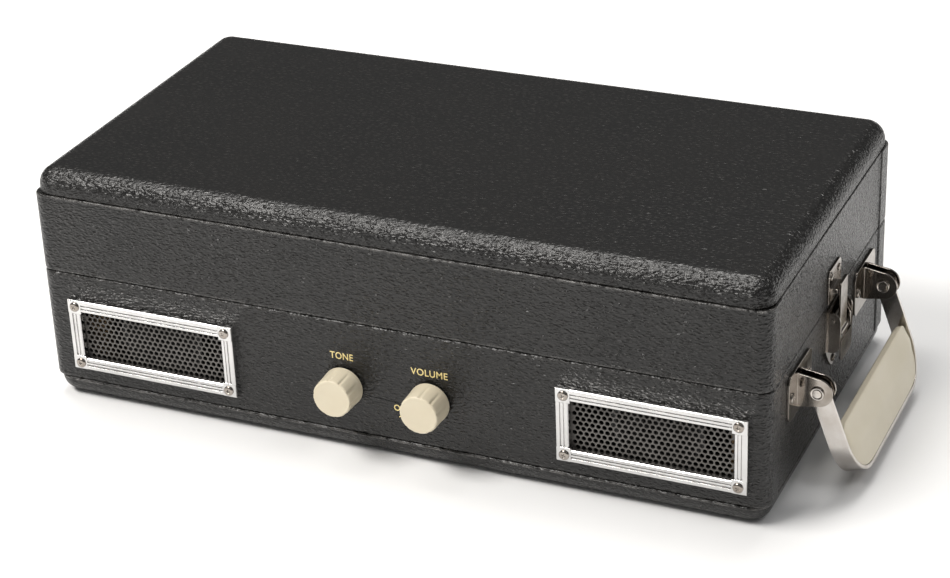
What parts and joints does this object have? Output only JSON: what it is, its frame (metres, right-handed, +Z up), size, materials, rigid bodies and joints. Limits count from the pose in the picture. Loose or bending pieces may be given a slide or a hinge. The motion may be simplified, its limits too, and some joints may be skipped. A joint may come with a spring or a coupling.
{
  "type": "portable record player",
  "caption": "Suitcase record player, shut: leatherette case with a hinged lid over a platter and tonearm, grilled loudspeakers, knobs, a draw latch and a drop handle.",
  "frame": {"origin": "under the middle of the case, on the surface it stands on", "axes": "+Z up, +X towards the end with the handle and latch, -Y towards the front with the loudspeakers and knobs"},
  "size_m": [0.4934, 0.26, 0.148],
  "materials": {
    "leatherette": "fine pebble grain, satin",
    "chrome": "polished",
    "nickel": "polished nickel",
    "ivory": "smooth, slightly glossy",
    "grille": "matt, punched",
    "deck_black": "fine matt texture",
    "wood": "raw",
    "rubber": "matt",
    "steel": "zinc plated",
    "cone_paper": "pressed paper",
    "brass": "turned",
    "aluminium": "satin",
    "black_plastic": "moulded",
    "board_green": "printed circuit"
  },
  "bodies": {
    "case": {"base_floor": "leatherette", "foot_pads": "rubber", "base_front": "leatherette", "base_back": "leatherette", "base_left": "leatherette", "base_right": "leatherette", "deck_plate": "deck_black", "deck_posts": "wood", "bezel_left": "chrome", "grille_left": "grille", "bezel_right": "chrome", "grille_right": "grille", "bezel_screws": "chrome", "speaker_frames": "steel", "speaker_cones": "cone_paper", "potentiometers": "steel", "bearing": "brass", "idler_stud": "steel", "motor": "steel", "arm_post": "deck_black", "arm_rest": "deck_black", "cue_bracket": "deck_black", "speed_plate": "deck_black", "circuit_board": "board_green", "socket_panel": "black_plastic", "hinge_base_leaves": "nickel", "hinge_pins": "nickel", "handle_brackets": "nickel", "handle_pins": "nickel", "latch_plate": "nickel", "latch_pin": "nickel", "case_screws": "nickel"},
    "lid": {"lid_top": "leatherette", "lid_front": "leatherette", "lid_back": "leatherette", "lid_left": "leatherette", "lid_right": "leatherette", "hinge_lid_leaves": "nickel", "latch_strike": "nickel", "lid_screws": "nickel"},
    "tone_knob": {"tone_knob": "ivory", "tone_shaft": "steel"},
    "volume_knob": {"volume_knob": "ivory", "volume_shaft": "steel"},
    "platter": {"platter": "aluminium", "platter_mat": "rubber", "spindle": "steel"},
    "idler": {"idler_wheel": "rubber"},
    "motor_rotor": {"motor_pulley": "steel"},
    "arm_turret": {"arm_turret": "aluminium"},
    "tonearm": {"tonearm": "aluminium", "cartridge": "black_plastic"},
    "cue_lever": {"cue_lever": "black_plastic"},
    "speed_selector": {"speed_selector": "black_plastic"},
    "stop_slider": {"stop_slider": "black_plastic"},
    "single_adapter": {"single_adapter": "ivory"},
    "handle": {"handle_strap": "nickel", "handle_grip": "ivory"},
    "latch_lever": {"latch_lever": "nickel"},
    "latch_claw": {"latch_claw": "nickel"}
  },
  "joints": [
    {"name": "lid_hinge", "type": "hinge", "parent": "case", "child": "lid", "pos_m": [-0.2276, 0, 0.084], "axis": [0, -1, 0], "range_deg": [0, 100]},
    {"name": "tone_turn", "type": "hinge", "parent": "case", "child": "tone_knob", "pos_m": [-0.027, -0.1175, 0.0423], "axis": [0, 1, 0], "range_deg": [-150, 150]},
    {"name": "volume_turn", "type": "hinge", "parent": "case", "child": "volume_knob", "pos_m": [0.027, -0.1175, 0.0423], "axis": [0, 1, 0], "range_deg": [0, 300]},
    {"name": "platter_spin", "type": "hinge", "parent": "case", "child": "platter", "pos_m": [-0.05, 0, 0.085], "axis": [0, 0, -1], "continuous": true},
    {"name": "idler_spin", "type": "hinge", "parent": "case", "child": "idler", "pos_m": [-0.10741, 0.04817, 0.0801], "axis": [0, 0, -1], "continuous": true},
    {"name": "motor_spin", "type": "hinge", "parent": "case", "child": "motor_rotor", "pos_m": [-0.08821, 0.03206, 0.0795], "axis": [0, 0, -1], "continuous": true},
    {"name": "arm_swing", "type": "hinge", "parent": "case", "child": "arm_turret", "pos_m": [0.0954, 0.086, 0.0995], "axis": [0, 0, -1], "range_deg": [0, 46]},
    {"name": "arm_lift", "type": "hinge", "parent": "arm_turret", "child": "tonearm", "pos_m": [0.0954, 0.086, 0.0995], "axis": [-0.9962, -0.0872, 0], "range_deg": [0, 8]},
    {"name": "cue_lift", "type": "hinge", "parent": "case", "child": "cue_lever", "pos_m": [0.121, 0.088, 0.082], "axis": [-1, 0, 0], "range_deg": [0, 35]},
    {"name": "speed_turn", "type": "hinge", "parent": "case", "child": "speed_selector", "pos_m": [0.171, 0.028, 0.078], "axis": [0, 0, 1], "range_deg": [-25, 25]},
    {"name": "stop_slide", "type": "slide", "parent": "case", "child": "stop_slider", "axis": [0, 1, 0], "range_m": [0, 0.008]},
    {"name": "adapter_lift", "type": "slide", "parent": "case", "child": "single_adapter", "axis": [0, 0, 1], "range_m": [0, 0.045]},
    {"name": "handle_swing", "type": "hinge", "parent": "case", "child": "handle", "pos_m": [0.2371, 0, 0.0632], "axis": [0, -1, 0], "range_deg": [-12, 100]},
    {"name": "latch_swing", "type": "hinge", "parent": "case", "child": "latch_lever", "pos_m": [0.228, 0, 0.076], "axis": [0, -1, 0], "range_deg": [0, 100]},
    {"name": "claw_swing", "type": "hinge", "parent": "latch_lever", "child": "latch_claw", "pos_m": [0.2304, 0, 0.066], "axis": [0, -1, 0], "range_deg": [-100, 0]}
  ],
  "couplings": [
    {"joint": "idler_spin", "follows": "platter_spin", "ratio": 4.75},
    {"joint": "motor_spin", "follows": "platter_spin", "ratio": -19},
    {"joint": "claw_swing", "follows": "latch_swing", "ratio": -1}
  ]
}
